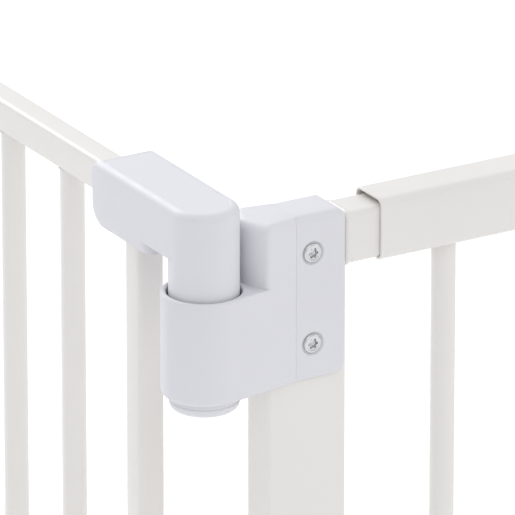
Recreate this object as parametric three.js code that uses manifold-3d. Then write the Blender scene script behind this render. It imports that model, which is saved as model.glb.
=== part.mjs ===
// A walk-through safety gate: a U-shaped steel frame with a swinging barred door,
// and a side panel that telescopes on the hinge side to fill the opening.
// Millimetres, +Z up. Every sub-part is modelled about the hinge line (x = 0, y = 0)
// with the floor at z = 0; +X runs along the fixed side panel and +Y along the open door.
// The whole gate is then shifted so that the origin is the middle of the lower wall plate
// on the latch side, on the face that lies against the wall.
import * as THREE from 'three';
import { mergeVertices } from 'three/addons/utils/BufferGeometryUtils.js';
import Module from 'manifold-3d';

// ---------------------------------------------------------------- driving dimensions
const gap = 0.3;                      // clearance between pieces that rest on each other
const upperRing = 714;                // height of the upper hinge socket's rim
const lowerRing = 72;                 // height of the lower socket's rim, which faces down

const post = { x0: 30.9, x1: 76.8, depth: 21.6, corner: 2.2, wall: 1.5, top: 30 };
const latchPost = { x0: -585.9, x1: -540, top: 44 };
const threshold = { width: 40, height: 16, corner: 3, wall: 1.5 };

const innerRail = { depth: 22, height: 28, corner: 3, wall: 1.5, bottom: 1.5, x1: 360 };
const sleeve = { depth: 25.6, height: 33.4, corner: 4.5, wall: 1.2, bottom: 0, x0: 96 };
const wallPost = { x0: 415, x1: 440, corner: 3, wall: 1.5 };

const bar = { radius: 6.35, wall: 1, pitch: 62.2 };
const innerBars = { x0: 140.5, count: 2 };
const outerBars = { x0: 232.5, count: 3 };
const doorBars = { y0: 134, count: 6 };

const door = { thickness: 15, railHeight: 17.8, railTop: 39.5, corner: 2.5, wall: 1.2 };
const doorPost = { y0: 52.5, width: 15 };
const doorEnd = 516.7;                // free end of the door's rails and post

const knuckle = { radius: 18, foot: -50, crown: 46, fillet: 4.5 };
const arm = { end: 82, underside: 18.5, skirt: 13.4, skirtStart: 24.5, endRadius: 11, topRadius: 4 };
const armScrew = { y: 72, z: 30.6, radius: 2, head: 4, sink: 2.5 };
const socket = { radius: 22, bore: 19.3, bottom: -55.5, floor: 4.5 };
const bracket = { seamX: 45.5, seamHalf: 14, plateHalf: 13.4, x1: 74.5, top: 33, fillet: 4, corner: 8 };
const pin = { radius: 5, top: 20, bottom: -59 };
const pinCap = { radius: 18, height: 7.7 };
const screw = {
  x: 55.5, upper: 13, lower: -35.9, seatRadius: 6.8, seatDepth: 1.2,
  headRadius: 5, head: 1.6, shank: 2.2, length: 4.5, driveRadius: 2.6,
};

const housing = { y0: 438, y1: 531, half: 18, skirt: 12, fillet: 4.5 };
const bolt = { half: 5.5, z0: 25, z1: 35, y0: 440, y1: 533, neckY: 468, neckHalf: 3, travel: 12 };
const slide = { y0: 455, y1: 481, half: 11, height: 7 };
const button = { y: 488, z: 27, radius: 7, proud: 2.5, flangeRadius: 8.6, flange: 1.5, step: 4 };
const wallPlate = {
  width: 22, height: 60, thickness: 3, corner: 4, holeSpacing: 40, holeRadius: 2.6, low: 110, high: 690,
};
const peg = { half: 4, length: 13 };
const strike = { plate: 3, y0: -23, y1: 16, z0: 12, z1: 43, lip: 18 };
const cradle = { y0: -9, y1: 15, half: 10, length: 14, wall: 3 };
const plug = { insert: 7, flange: 2 };
const facets = { barrel: 36, pin: 20, hole: 12 };    // sides of the turned shapes

// ---------------------------------------------------------------- materials
const painted = new THREE.MeshStandardMaterial({ color: 0xf1efec, roughness: 0.42, metalness: 0 });
const plastic = new THREE.MeshStandardMaterial({ color: 0xe2e1e7, roughness: 0.5, metalness: 0 });
const steel = new THREE.MeshStandardMaterial({ color: 0xc9cacc, roughness: 0.3, metalness: 1 });

// ---------------------------------------------------------------- booleans and mesh helpers
const wasm = await Module();
wasm.setup();

function toSolid(geometry) {
  const bare = geometry.clone();
  bare.deleteAttribute('normal');
  bare.deleteAttribute('uv');
  const merged = mergeVertices(bare, 1e-4);
  return new wasm.Manifold(new wasm.Mesh({
    numProp: 3,
    vertProperties: new Float32Array(merged.attributes.position.array),
    triVerts: new Uint32Array(merged.index.array),
  }));
}

function toGeometry(solid) {
  const { numProp, vertProperties, triVerts } = solid.getMesh();
  const places = new Float32Array((vertProperties.length / numProp) * 3);
  for (let i = 0; i < places.length / 3; i += 1) {
    for (let k = 0; k < 3; k += 1) places[3 * i + k] = vertProperties[numProp * i + k];
  }
  const geometry = new THREE.BufferGeometry();
  geometry.setAttribute('position', new THREE.BufferAttribute(places, 3));
  geometry.setIndex(Array.from(triVerts));
  return geometry;
}

const join = (first, ...rest) => toGeometry(rest.reduce((a, b) => a.add(toSolid(b)), toSolid(first)));
const cut = (first, ...rest) => toGeometry(rest.reduce((a, b) => a.subtract(toSolid(b)), toSolid(first)));
const common = (first, ...rest) => toGeometry(rest.reduce((a, b) => a.intersect(toSolid(b)), toSolid(first)));

// The same shape upside down, with its faces still pointing out.
function upsideDown(geometry) {
  const turned = geometry.clone();
  turned.deleteAttribute('normal');
  turned.deleteAttribute('uv');
  turned.scale(1, 1, -1);
  const merged = mergeVertices(turned, 1e-4);
  const index = Array.from(merged.index.array);
  for (let i = 0; i < index.length; i += 3) [index[i + 1], index[i + 2]] = [index[i + 2], index[i + 1]];
  merged.setIndex(index);
  return merged;
}

function named(name, geometry, material) {
  const mesh = new THREE.Mesh(geometry, material);
  mesh.name = name;
  return mesh;
}

// A rectangle with round corners, wound for a shape or for the hole in one.
function roundRect(path, x0, y0, x1, y1, r) {
  path.moveTo(x0 + r, y0);
  path.lineTo(x1 - r, y0);
  path.absarc(x1 - r, y0 + r, r, -Math.PI / 2, 0);
  path.lineTo(x1, y1 - r);
  path.absarc(x1 - r, y1 - r, r, 0, Math.PI / 2);
  path.lineTo(x0 + r, y1);
  path.absarc(x0 + r, y1 - r, r, Math.PI / 2, Math.PI);
  path.lineTo(x0, y0 + r);
  path.absarc(x0 + r, y0 + r, r, Math.PI, 1.5 * Math.PI);
  return path;
}

// Extrude a flat shape along an axis. For X the shape's plane is (y, z); for Y it is (x, z).
function extrudeAlong(axis, shape, from, to, curveSegments = 2) {
  const geometry = new THREE.ExtrudeGeometry(shape, { depth: to - from, bevelEnabled: false, curveSegments });
  const basis = new THREE.Matrix4();
  if (axis === 'Z') return geometry.translate(0, 0, from);
  if (axis === 'X') {
    basis.makeBasis(new THREE.Vector3(0, 1, 0), new THREE.Vector3(0, 0, 1), new THREE.Vector3(1, 0, 0));
    return geometry.applyMatrix4(basis).translate(from, 0, 0);
  }
  basis.makeBasis(new THREE.Vector3(1, 0, 0), new THREE.Vector3(0, 0, 1), new THREE.Vector3(0, -1, 0));
  return geometry.applyMatrix4(basis).translate(0, to, 0);
}

// A rectangular tube with round corners, open at both ends.
function boxTube(axis, [a0, b0, a1, b1], from, to, corner, wall) {
  const shape = roundRect(new THREE.Shape(), a0, b0, a1, b1, corner);
  const bore = Math.max(corner - wall, 0.5);
  shape.holes.push(roundRect(new THREE.Path(), a0 + wall, b0 + wall, a1 - wall, b1 - wall, bore));
  return extrudeAlong(axis, shape, from, to);
}

function box(x0, x1, y0, y1, z0, z1) {
  return new THREE.BoxGeometry(x1 - x0, y1 - y0, z1 - z0)
    .translate((x0 + x1) / 2, (y0 + y1) / 2, (z0 + z1) / 2);
}

// A solid of revolution about Z from [radius, height] points listed from the bottom to the top.
function turned(points, sides) {
  const profile = points.map(([radius, height]) => new THREE.Vector2(radius, height));
  return new THREE.LatheGeometry(profile, sides).rotateX(Math.PI / 2);
}

// The points of a quarter round between two directions, for a turned profile.
function quarter(centreRadius, centreHeight, radius, steps) {
  return Array.from({ length: steps + 1 }, (_, i) => {
    const angle = (Math.PI / 2) * (i / steps);
    return [centreRadius + radius * Math.cos(angle), centreHeight + radius * Math.sin(angle)];
  });
}

function roundBar(x, y, z0, z1) {
  const shape = new THREE.Shape().absarc(0, 0, bar.radius, 0, 2 * Math.PI);
  shape.holes.push(new THREE.Path().absarc(0, 0, bar.radius - bar.wall, 0, 2 * Math.PI));
  return extrudeAlong('Z', shape, z0, z1, 8).translate(x, y, 0);
}

// ---------------------------------------------------------------- hinge
// Each hinge is modelled for the top of the door, with the socket's rim at z = 0.
// The one at the bottom is the same thing upside down.

function hingeArm() {
  const { radius, foot, crown, fillet } = knuckle;
  const barrel = turned([
    [0, foot], [radius - 1, foot], [radius, foot + 1],
    ...quarter(radius - fillet, crown - fillet, fillet, 3), [0, crown],
  ], facets.barrel);
  const section = new THREE.Shape();
  section.moveTo(-radius, arm.skirt);
  section.lineTo(radius, arm.skirt);
  section.lineTo(radius, crown - fillet);
  section.absarc(radius - fillet, crown - fillet, fillet, 0, Math.PI / 2);
  section.lineTo(-radius + fillet, crown);
  section.absarc(-radius + fillet, crown - fillet, fillet, Math.PI / 2, Math.PI);
  const body = extrudeAlong('Y', section, 0, arm.end);
  const side = new THREE.Shape();
  side.moveTo(0, arm.underside);
  side.lineTo(arm.skirtStart, arm.underside);
  side.lineTo(arm.skirtStart, arm.skirt);
  side.lineTo(arm.end - arm.endRadius, arm.skirt);
  side.absarc(arm.end - arm.endRadius, arm.skirt + arm.endRadius, arm.endRadius, -Math.PI / 2, 0);
  side.lineTo(arm.end, crown - arm.topRadius);
  side.absarc(arm.end - arm.topRadius, crown - arm.topRadius, arm.topRadius, 0, Math.PI / 2);
  side.lineTo(0, crown);
  const beam = common(body, extrudeAlong('X', side, -radius, radius, 3));
  const half = door.thickness / 2 + gap;
  const channel = box(-half, half, doorPost.y0 - gap, arm.end + 1, arm.skirt - 1, door.railTop + gap);
  const pinHole = turned([
    [0, foot - 1], [pin.radius + gap, foot - 1], [pin.radius + gap, pin.top + 1], [0, pin.top + 1],
  ], facets.pin);
  return cut(join(barrel, beam), channel, pinHole, armScrewHole());
}

// One countersunk screw on the far side of the arm runs into the door's rail.
function armScrewHole() {
  const x0 = door.thickness / 2;
  const face = knuckle.radius - x0;
  const clear = armScrew.radius + gap;
  const shaft = turned([
    [0, -x0], [clear, -x0], [clear, face - armScrew.sink],
    [armScrew.head + gap, face], [armScrew.head + gap, face + 1], [0, face + 1],
  ], facets.hole);
  return shaft.rotateY(Math.PI / 2).translate(x0, armScrew.y, armScrew.z);
}

function armScrewSolid() {
  const x0 = door.thickness / 2 + gap;
  const length = knuckle.radius - x0;
  const shaft = turned([
    [0, 0], [armScrew.radius, 0], [armScrew.radius, length - armScrew.sink],
    [armScrew.head, length - gap], [0, length - gap],
  ], facets.hole);
  return shaft.rotateY(Math.PI / 2).translate(x0, armScrew.y, armScrew.z);
}

// The bracket's outline from above: the socket, and two sides that run off it
// in tangents to a flat plate on each face of the post.
function bracketOutline() {
  const reach = Math.hypot(bracket.seamX, bracket.seamHalf);
  const tangent = Math.atan2(bracket.seamHalf, bracket.seamX) + Math.acos(socket.radius / reach);
  const shape = new THREE.Shape();
  shape.moveTo(bracket.x1, -bracket.plateHalf);
  shape.lineTo(bracket.x1, bracket.plateHalf);
  shape.lineTo(bracket.seamX, bracket.plateHalf);
  shape.lineTo(bracket.seamX, bracket.seamHalf);
  shape.absarc(0, 0, socket.radius, tangent, 2 * Math.PI - tangent);
  shape.lineTo(bracket.seamX, -bracket.seamHalf);
  shape.lineTo(bracket.seamX, -bracket.plateHalf);
  return shape;
}

// The space above the socket that the knuckle and the swinging arm need.
function bracketRecess() {
  const shape = new THREE.Shape();
  shape.moveTo(-30, -30);
  shape.lineTo(28.6, -30);
  shape.lineTo(26.7, -17);
  shape.quadraticCurveTo(21, -7, 20.5, 0);
  shape.quadraticCurveTo(21, 7, 26.7, 17);
  shape.lineTo(28.6, 30);
  shape.lineTo(-30, 30);
  return extrudeAlong('Z', shape, 0, bracket.top + 10, 3);
}

function bracketFaceProfile() {
  const half = socket.radius;
  const { top, fillet, seamHalf, plateHalf } = bracket;
  const shoulder = new THREE.Shape();
  shoulder.moveTo(-half - 1, socket.bottom);
  shoulder.lineTo(half + 1, socket.bottom);
  shoulder.lineTo(half + 1, 26);
  shoulder.quadraticCurveTo(half - 1, top - 0.5, plateHalf - fillet, top);
  shoulder.lineTo(-plateHalf + fillet, top);
  shoulder.quadraticCurveTo(-half + 1, top - 0.5, -half - 1, 26);
  return extrudeAlong('X', shoulder, -socket.radius - 1, bracket.x1 + seamHalf, 3);
}

function bracketSideProfile() {
  const { x1, top, corner } = bracket;
  const shape = new THREE.Shape();
  shape.moveTo(-socket.radius - 1, socket.bottom);
  shape.lineTo(x1 - corner, socket.bottom);
  shape.absarc(x1 - corner, socket.bottom + corner, corner, -Math.PI / 2, 0);
  shape.lineTo(x1, top - 2);
  shape.absarc(x1 - 2, top - 2, 2, 0, Math.PI / 2);
  shape.lineTo(-socket.radius - 1, top);
  return extrudeAlong('Y', shape, -socket.radius - 1, socket.radius + 1, 3);
}

// The screws sit in round seats in the plate that faces the front.
function screwSeat(z) {
  const hole = turned([
    [0, -8], [screw.shank + gap, -8], [screw.shank + gap, 0], [screw.headRadius + 0.6, 0],
    [screw.seatRadius, screw.seatDepth], [screw.seatRadius, screw.seatDepth + 1], [0, screw.seatDepth + 1],
  ], facets.pin);
  return hole.rotateX(Math.PI / 2).translate(screw.x, -bracket.plateHalf + screw.seatDepth, z);
}

function hingeBracket(closedEnd) {
  const half = post.depth / 2 + gap;
  const roof = closedEnd ? post.top + gap : bracket.top + 1;
  const outline = extrudeAlong('Z', bracketOutline(), socket.bottom, bracket.top, 15);
  const body = common(outline, bracketFaceProfile(), bracketSideProfile());
  const bore = turned([
    [0, socket.bottom + socket.floor], [socket.bore, socket.bottom + socket.floor], [socket.bore, 1], [0, 1],
  ], facets.barrel);
  const pinHole = turned([
    [0, socket.bottom - 1], [pin.radius + gap, socket.bottom - 1], [pin.radius + gap, 0], [0, 0],
  ], facets.pin);
  const postRoom = box(post.x0 - gap, bracket.x1 + 1, -half, half, socket.bottom - 1, roof);
  const seats = [screw.upper, screw.lower].map(screwSeat);
  return cut(body, bracketRecess(), bore, pinHole, postRoom, ...seats);
}

function hingePin() {
  return turned([[0, pin.bottom], [pin.radius - 0.5, pin.bottom], [pin.radius, pin.bottom + 0.5],
    [pin.radius, pin.top - 1], [pin.radius - 1, pin.top], [0, pin.top]], facets.pin);
}

// The cap under the socket hides the pin's end.
function hingePinCap() {
  const top = socket.bottom - gap;
  const bottom = top - pinCap.height;
  const shell = turned([[0, bottom], [pinCap.radius - 3, bottom], [pinCap.radius - 0.9, bottom + 0.9],
    [pinCap.radius, bottom + 3], [pinCap.radius, top], [0, top]], facets.barrel);
  const room = turned([
    [0, pin.bottom - gap], [pin.radius + gap, pin.bottom - gap], [pin.radius + gap, top + 1], [0, top + 1],
  ], facets.pin);
  return cut(shell, room);
}

// A machine screw with a socket in its head, threaded into the post's front wall.
function bracketScrew(z) {
  const { headRadius, head, shank, length, driveRadius } = screw;
  const body = turned([[0, -length], [shank, -length], [shank, gap], [headRadius, gap],
    [headRadius, head - 0.5], [headRadius - 0.7, head], [0, head]], facets.pin);
  const drive = new THREE.CylinderGeometry(driveRadius, driveRadius, 2, 6)
    .rotateX(Math.PI / 2).translate(0, 0, head + 0.1);
  return cut(body, drive).rotateX(Math.PI / 2).translate(screw.x, -bracket.plateHalf + screw.seatDepth, z);
}

function hingeSet(label, closedEnd, place) {
  const group = new THREE.Group();
  group.add(named(`${label}_hinge_arm`, place(hingeArm()), plastic));
  group.add(named(`${label}_arm_screw`, place(armScrewSolid()), steel));
  group.add(named(`${label}_hinge_bracket`, place(hingeBracket(closedEnd)), plastic));
  group.add(named(`${label}_hinge_pin`, place(hingePin()), steel));
  group.add(named(`${label}_hinge_pin_cap`, place(hingePinCap()), plastic));
  group.add(named(`${label}_bracket_screw_1`, place(bracketScrew(screw.upper)), steel));
  group.add(named(`${label}_bracket_screw_2`, place(bracketScrew(screw.lower)), steel));
  return group;
}

// ---------------------------------------------------------------- fixed frame
const levels = {
  topRail: [upperRing + innerRail.bottom, upperRing + innerRail.bottom + innerRail.height],
  lowRail: [lowerRing - innerRail.bottom - innerRail.height, lowerRing - innerRail.bottom],
  topSleeve: [upperRing + sleeve.bottom, upperRing + sleeve.bottom + sleeve.height],
  lowSleeve: [lowerRing - sleeve.bottom - sleeve.height, lowerRing - sleeve.bottom],
  topDoorRail: [upperRing + door.railTop - door.railHeight, upperRing + door.railTop],
  lowDoorRail: [lowerRing - door.railTop, lowerRing - door.railTop + door.railHeight],
};

// A plug for the open end of a tube, with its flange resting on the tube's end.
function tubePlug(axis, [a0, b0, a1, b1], end, inward, corner, wall) {
  const flange = roundRect(new THREE.Shape(), a0, b0, a1, b1, corner);
  const inset = wall + gap;
  const stem = roundRect(new THREE.Shape(), a0 + inset, b0 + inset, a1 - inset, b1 - inset, 0.6);
  const outer = [end - inward * gap, end - inward * (gap + plug.flange)].sort((a, b) => a - b);
  const inner = [end - inward * gap, end + inward * plug.insert].sort((a, b) => a - b);
  return join(extrudeAlong(axis, flange, ...outer), extrudeAlong(axis, stem, ...inner));
}

function hingePost() {
  const half = post.depth / 2;
  const tube = boxTube('Z', [post.x0, -half, post.x1, half], threshold.height + gap,
    upperRing + post.top, post.corner, post.wall);
  const heights = [screw.upper, screw.lower].flatMap((z) => [upperRing + z, lowerRing - z]);
  const radius = screw.shank + gap;
  const holes = heights.map((z) => new THREE.CylinderGeometry(radius, radius, 8, facets.hole)
    .translate(screw.x, -half, z));
  return cut(tube, ...holes);
}

function latchPostTube() {
  const half = post.depth / 2;
  const tube = boxTube('Z', [latchPost.x0, -half, latchPost.x1, half], threshold.height + gap,
    upperRing + latchPost.top, post.corner, post.wall);
  return cut(tube, boltRoom(latchPost.x1 - 3, latchPost.x1 + 1));
}

function boltRoom(x0, x1) {
  const play = 1.5;
  return box(x0, x1, -bolt.half - play, bolt.half + play,
    upperRing + bolt.z0 - play, upperRing + bolt.z1 + play);
}

// The strike is a plate on the latch post with a hole for the bolt and a lip that stops the door.
function boltStrike() {
  const { plate, y0, y1, z0, z1, lip } = strike;
  const x0 = latchPost.x1 + gap;
  const back = box(x0, x0 + plate, y0, y1, upperRing + z0, upperRing + z1);
  const stop = box(x0, x0 + lip, y0, -knuckle.radius - gap, upperRing + z0 + plate, upperRing + z1);
  return cut(join(back, stop), boltRoom(x0 - 1, x0 + plate + 1));
}

// The lower strike is a cradle, open towards the door, that the door's peg swings into.
function pegStrike() {
  const x0 = latchPost.x1 + gap;
  const middle = (levels.lowDoorRail[0] + levels.lowDoorRail[1]) / 2;
  const { y0, y1, half, length, wall } = cradle;
  const reach = peg.half + 1;
  const block = box(x0, x0 + length, y0, y1, middle - half, middle + half);
  const room = box(x0 + wall, x0 + length + 1, -peg.half - gap, y1 + 1, middle - reach, middle + reach);
  return cut(block, room);
}

// A wall plate with two countersunk holes; `side` is -1 where the wall is on the left.
function plateOnWall(faceX, side, z) {
  const x0 = Math.min(faceX, faceX + side * wallPlate.thickness);
  const half = wallPlate.width / 2;
  const tall = wallPlate.height / 2;
  const outline = roundRect(new THREE.Shape(), -half, z - tall, half, z + tall, wallPlate.corner);
  const plate = extrudeAlong('X', outline, x0, x0 + wallPlate.thickness, 3);
  const { holeRadius, thickness } = wallPlate;
  const drill = (dz) => turned([[0, -1], [holeRadius, -1], [holeRadius, 1],
    [holeRadius + 2, thickness], [holeRadius + 2, thickness + 1], [0, thickness + 1]], facets.hole)
    .rotateY(-side * Math.PI / 2).translate(faceX + side * thickness, 0, z + dz);
  return cut(plate, drill(-wallPlate.holeSpacing / 2), drill(wallPlate.holeSpacing / 2));
}

function innerRailTube([z0, z1]) {
  const half = innerRail.depth / 2;
  return boxTube('X', [-half, z0, half, z1], post.x1 + gap, innerRail.x1, innerRail.corner, innerRail.wall);
}

function fixedFrame() {
  const group = new THREE.Group();
  const halfPost = post.depth / 2;
  const halfSill = threshold.width / 2;
  const sill = [-halfSill, 0, halfSill, threshold.height];
  const { corner, wall } = threshold;
  const latchTop = [latchPost.x0, -halfPost, latchPost.x1, halfPost];
  const add = (name, geometry, material) => group.add(named(name, geometry, material));
  add('hinge_post', hingePost(), painted);
  add('latch_post', latchPostTube(), painted);
  add('latch_post_cap',
    tubePlug('Z', latchTop, upperRing + latchPost.top, -1, post.corner, post.wall), plastic);
  add('threshold_bar', boxTube('X', sill, latchPost.x0, post.x1, corner, wall), painted);
  add('threshold_plug_latch_end', tubePlug('X', sill, latchPost.x0, 1, corner, wall), plastic);
  add('threshold_plug_hinge_end', tubePlug('X', sill, post.x1, -1, corner, wall), plastic);
  add('inner_top_rail', innerRailTube(levels.topRail), painted);
  add('inner_bottom_rail', innerRailTube(levels.lowRail), painted);
  for (let i = 0; i < innerBars.count; i += 1) {
    const x = innerBars.x0 + i * bar.pitch;
    add(`inner_bar_${i + 1}`, roundBar(x, 0, levels.lowRail[1] + gap, levels.topRail[0] - gap), painted);
  }
  add('bolt_strike', boltStrike(), plastic);
  add('peg_strike', pegStrike(), plastic);
  const face = latchPost.x0 - gap;
  add('latch_wall_plate_lower', plateOnWall(face, -1, wallPlate.low), painted);
  add('latch_wall_plate_upper', plateOnWall(face, -1, wallPlate.high), painted);
  return group;
}

// ---------------------------------------------------------------- telescoping side panel
function sleeveTube([z0, z1], slotZ) {
  const half = sleeve.depth / 2;
  const tube = boxTube('X', [-half, z0, half, z1], sleeve.x0, wallPost.x0 - gap, sleeve.corner, sleeve.wall);
  const lastInner = innerBars.x0 + (innerBars.count - 1) * bar.pitch;
  const slotHalf = bar.radius + 0.8;
  const slotEnd = lastInner + bar.radius + 16;
  return cut(tube, box(sleeve.x0 - 1, slotEnd, -slotHalf, slotHalf, slotZ - 2, slotZ + 2));
}

function slidingPanel() {
  const group = new THREE.Group();
  const half = sleeve.depth / 2;
  const { x0, x1, corner, wall } = wallPost;
  const section = [x0, -half, x1, half];
  const [foot, head] = [levels.lowSleeve[0], levels.topSleeve[1]];
  const add = (name, geometry, material) => group.add(named(name, geometry, material));
  add('top_sleeve', sleeveTube(levels.topSleeve, levels.topSleeve[0]), painted);
  add('bottom_sleeve', sleeveTube(levels.lowSleeve, levels.lowSleeve[1]), painted);
  for (let i = 0; i < outerBars.count; i += 1) {
    const x = outerBars.x0 + i * bar.pitch;
    add(`outer_bar_${i + 1}`, roundBar(x, 0, levels.lowSleeve[1] + gap, levels.topSleeve[0] - gap), painted);
  }
  add('wall_post', boxTube('Z', section, foot, head, corner, wall), painted);
  add('wall_post_top_plug', tubePlug('Z', section, head, -1, corner, wall), plastic);
  add('wall_post_foot_plug', tubePlug('Z', section, foot, 1, corner, wall), plastic);
  const face = x1 + gap;
  add('panel_wall_plate_lower', plateOnWall(face, 1, wallPlate.low), painted);
  add('panel_wall_plate_upper', plateOnWall(face, 1, wallPlate.high), painted);
  return group;
}

// ---------------------------------------------------------------- door
// The bolt's neck stands in a slot through the rail's top wall and the housing's roof.
function neckSlot() {
  const play = 0.4;
  const along = 6 + play;
  return box(-bolt.neckHalf - play, bolt.neckHalf + play,
    bolt.neckY - along, bolt.neckY + along + bolt.travel,
    upperRing + bolt.z1 + 2, upperRing + knuckle.crown + 1);
}

function doorTopRail() {
  const half = door.thickness / 2;
  const [z0, z1] = levels.topDoorRail;
  return cut(boxTube('Y', [-half, z0, half, z1], doorPost.y0, doorEnd, door.corner, door.wall), neckSlot());
}

function doorUpright(y0) {
  const half = door.thickness / 2;
  return boxTube('Z', [-half, y0, half, y0 + doorPost.width],
    levels.lowDoorRail[1] + gap, levels.topDoorRail[0] - gap, door.corner, door.wall);
}

// The plug in the bottom rail's free end carries the peg that the lower strike catches.
function catchPeg() {
  const [z0, z1] = levels.lowDoorRail;
  const half = door.thickness / 2;
  const middle = (z0 + z1) / 2;
  const end = tubePlug('Y', [-half, z0, half, z1], doorEnd, -1, door.corner, door.wall);
  const y0 = doorEnd + gap + 1;
  return join(end, box(-peg.half, peg.half, y0, y0 + peg.length, middle - peg.half, middle + peg.half));
}

function latchHousing() {
  const { y0, y1, half, skirt, fillet } = housing;
  const top = knuckle.crown;
  const section = new THREE.Shape();
  section.moveTo(-half, skirt);
  section.lineTo(half, skirt);
  section.lineTo(half, top - fillet);
  section.absarc(half - fillet, top - fillet, fillet, 0, Math.PI / 2);
  section.lineTo(-half + fillet, top);
  section.absarc(-half + fillet, top - fillet, fillet, Math.PI / 2, Math.PI);
  const side = new THREE.Shape();
  const foot = arm.endRadius;
  side.moveTo(y0 + foot, skirt);
  side.lineTo(y1 - 3, skirt);
  side.absarc(y1 - 3, skirt + 3, 3, -Math.PI / 2, 0);
  side.lineTo(y1, top - arm.topRadius);
  side.absarc(y1 - arm.topRadius, top - arm.topRadius, arm.topRadius, 0, Math.PI / 2);
  side.lineTo(y0 + arm.topRadius, top);
  side.absarc(y0 + arm.topRadius, top - arm.topRadius, arm.topRadius, Math.PI / 2, Math.PI);
  side.lineTo(y0, skirt + foot);
  side.absarc(y0 + foot, skirt + foot, foot, Math.PI, 1.5 * Math.PI);
  const body = common(extrudeAlong('Y', section, y0, y1), extrudeAlong('X', side, -half, half, 3));
  const room = door.thickness / 2 + gap;
  const channel = box(-room, room, y0 - 1, doorEnd + gap, skirt - 1, door.railTop + gap);
  const boltHole = box(-bolt.half - 0.4, bolt.half + 0.4, doorEnd - 1, y1 + 1, bolt.z0 - 0.4, bolt.z1 + 0.4);
  const { radius, flangeRadius, step } = button;
  const buttonWell = turned([[0, -1], [flangeRadius + gap, -1], [flangeRadius + gap, half - room - step],
    [radius + gap, half - room - step], [radius + gap, half - room + 1], [0, half - room + 1]], facets.pin)
    .rotateY(-Math.PI / 2).translate(-room, button.y, button.z);
  const screwHole = armScrewHole().translate(0, button.y - armScrew.y, 0);
  const shell = cut(body, channel, boltHole, buttonWell, screwHole).translate(0, 0, upperRing);
  return cut(shell, neckSlot());
}

function latchBolt() {
  const body = box(-bolt.half, bolt.half, bolt.y0, bolt.y1, upperRing + bolt.z0, upperRing + bolt.z1);
  const neck = box(-bolt.neckHalf, bolt.neckHalf, bolt.neckY - 6, bolt.neckY + 6,
    upperRing + bolt.z1 - 1, upperRing + knuckle.crown + 2);
  return join(body, neck);
}

function thumbSlide() {
  const z0 = knuckle.crown + gap;
  const shape = new THREE.Shape();
  const { y0, y1, half, height } = slide;
  shape.moveTo(y0, z0);
  shape.lineTo(y1, z0);
  shape.lineTo(y1, z0 + height - 3);
  shape.absarc(y1 - 3, z0 + height - 3, 3, 0, Math.PI / 2);
  shape.quadraticCurveTo((y0 + y1) / 2, z0 + height - 4, y0 + 3, z0 + height);
  shape.absarc(y0 + 3, z0 + height - 3, 3, Math.PI / 2, Math.PI);
  const body = extrudeAlong('X', shape, -half, half, 4);
  const play = gap;
  const pocket = box(-bolt.neckHalf - play, bolt.neckHalf + play,
    bolt.neckY - 6 - play, bolt.neckY + 6 + play,
    knuckle.crown - 1, knuckle.crown + 2 + play);
  return cut(body, pocket).translate(0, 0, upperRing);
}

// The release button is held in its well by a flange, with a coil spring behind it.
function releaseButton() {
  const { radius, flangeRadius, flange, step, proud } = button;
  const wall = housing.half - door.thickness / 2 - gap;
  const shoulder = wall - step - gap;
  const cap = turned([[0, shoulder - flange], [flangeRadius, shoulder - flange], [flangeRadius, shoulder],
    [radius, shoulder], [radius, wall + proud - 1],
    [radius - 1, wall + proud], [0, wall + proud]], facets.pin);
  return cap.rotateY(-Math.PI / 2).translate(-housing.half + wall, button.y, upperRing + button.z);
}

class Coil extends THREE.Curve {
  constructor(radius, length, turns) {
    super();
    Object.assign(this, { radius, length, turns });
  }

  getPoint(t, target = new THREE.Vector3()) {
    const angle = 2 * Math.PI * this.turns * t;
    return target.set(-this.length * t, this.radius * Math.cos(angle), this.radius * Math.sin(angle));
  }
}

function buttonSpring() {
  const wire = new THREE.Shape().absarc(0, 0, 0.35, 0, 2 * Math.PI);
  const depth = housing.half - door.thickness / 2 - gap - button.step - gap - button.flange;
  const length = depth - 2 * 0.35 - gap;
  const coil = new THREE.ExtrudeGeometry(wire, {
    extrudePath: new Coil(4.5, length - gap, 2), steps: 32, curveSegments: 3, bevelEnabled: false,
  });
  return coil.translate(-door.thickness / 2 - gap - 0.35, button.y, upperRing + button.z);
}

function swingingDoor() {
  const group = new THREE.Group();
  const half = door.thickness / 2;
  const [low0, low1] = levels.lowDoorRail;
  const lowSection = [-half, low0, half, low1];
  const add = (name, geometry, material) => group.add(named(name, geometry, material));
  add('door_top_rail', doorTopRail(), painted);
  add('door_bottom_rail', boxTube('Y', lowSection, doorPost.y0, doorEnd, door.corner, door.wall), painted);
  add('door_hinge_upright', doorUpright(doorPost.y0), painted);
  add('door_latch_upright', doorUpright(doorEnd - doorPost.width), painted);
  for (let i = 0; i < doorBars.count; i += 1) {
    const y = doorBars.y0 + i * bar.pitch;
    add(`door_bar_${i + 1}`, roundBar(0, y, low1 + gap, levels.topDoorRail[0] - gap), painted);
  }
  add('latch_housing', latchHousing(), plastic);
  add('latch_housing_screw', armScrewSolid().translate(0, button.y - armScrew.y, upperRing), steel);
  add('latch_bolt', latchBolt(), plastic);
  add('thumb_slide', thumbSlide(), plastic);
  add('release_button', releaseButton(), plastic);
  add('button_spring', buttonSpring(), steel);
  add('catch_peg', catchPeg(), plastic);
  return group;
}

// ---------------------------------------------------------------- the whole gate
const gate = new THREE.Group();
gate.add(fixedFrame());
gate.add(slidingPanel());
gate.add(swingingDoor());
gate.add(hingeSet('top', true, (piece) => piece.translate(0, 0, upperRing)));
gate.add(hingeSet('bottom', false, (piece) => upsideDown(piece).translate(0, 0, lowerRing)));
gate.position.set(-(latchPost.x0 - gap - wallPlate.thickness), 0, -wallPlate.low);

export default gate;
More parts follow.
